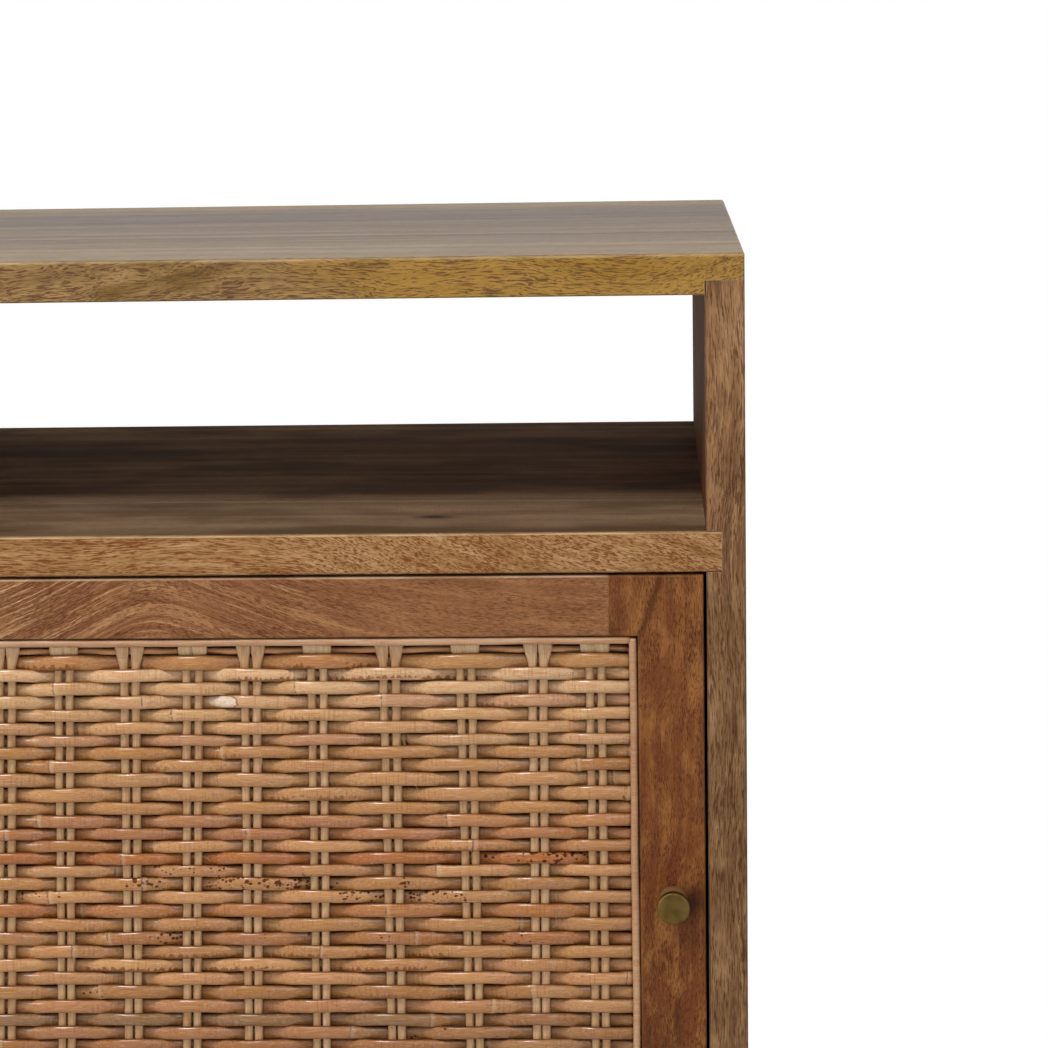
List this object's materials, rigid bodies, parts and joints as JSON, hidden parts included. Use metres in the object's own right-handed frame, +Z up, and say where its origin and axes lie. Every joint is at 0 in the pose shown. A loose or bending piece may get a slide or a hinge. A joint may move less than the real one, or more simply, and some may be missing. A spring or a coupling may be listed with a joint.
{
  "type": "storage side table with door",
  "caption": "Wooden side table on splayed legs, with an open slot under the top and a cupboard below it closed by a hinged door with a woven rattan panel.",
  "frame": {"origin": "on the floor, under the middle of the whole object's box, knob included", "axes": "+Z up; the door faces -Y; +X to the right as seen from the front, so the knob is on the +X side of the door"},
  "size_m": [0.47, 0.3644, 0.6],
  "materials": {
    "top_wood": "satin lacquer",
    "cabinet_wood": "satin lacquer, open grain",
    "shelf_wood": "satin lacquer",
    "door_wood": "satin lacquer, reddish",
    "leg_wood": "satin lacquer",
    "rattan": "natural round rattan, unpeeled skin in places",
    "rattan_rod": "natural round rattan rod",
    "rattan_trim": "pale peeled cane",
    "aged_brass": "aged, brushed",
    "brass": "satin",
    "steel": "plain zinc finish",
    "catch_plastic": "moulded, brown",
    "felt": "pressed felt"
  },
  "bodies": {
    "cabinet": {"top_board": "top_wood", "bottom_board": "cabinet_wood", "side_panel_left": "cabinet_wood", "side_panel_right": "cabinet_wood", "slot_shelf": "shelf_wood", "back_panel": "cabinet_wood", "leg_front_left": "leg_wood", "leg_front_right": "leg_wood", "leg_back_left": "leg_wood", "leg_back_right": "leg_wood", "leg_screws": "steel", "leg_pads": "felt", "hinge_leaves_cabinet": "brass", "hinge_pins": "brass", "cabinet_wood_screws": "brass", "catch_body": "catch_plastic", "catch_magnet": "steel"},
    "door": {"door_stile_left": "door_wood", "door_stile_right": "door_wood", "door_rail_top": "door_wood", "door_rail_bottom": "door_wood", "rattan_weavers": "rattan", "rattan_border_rods": "rattan_rod", "rattan_stakes": "rattan", "rattan_trim_canes": "rattan_trim", "door_knob": "aged_brass", "door_knob_bolt": "steel", "hinge_leaves_door": "brass", "door_wood_screws": "brass", "catch_strike_plate": "steel"}
  },
  "joints": [
    {"name": "door_hinge", "type": "hinge", "parent": "cabinet", "child": "door", "pos_m": [-0.21525, -0.17065, 0.282], "axis": [0, 0, -1], "range_deg": [0, 170]}
  ]
}
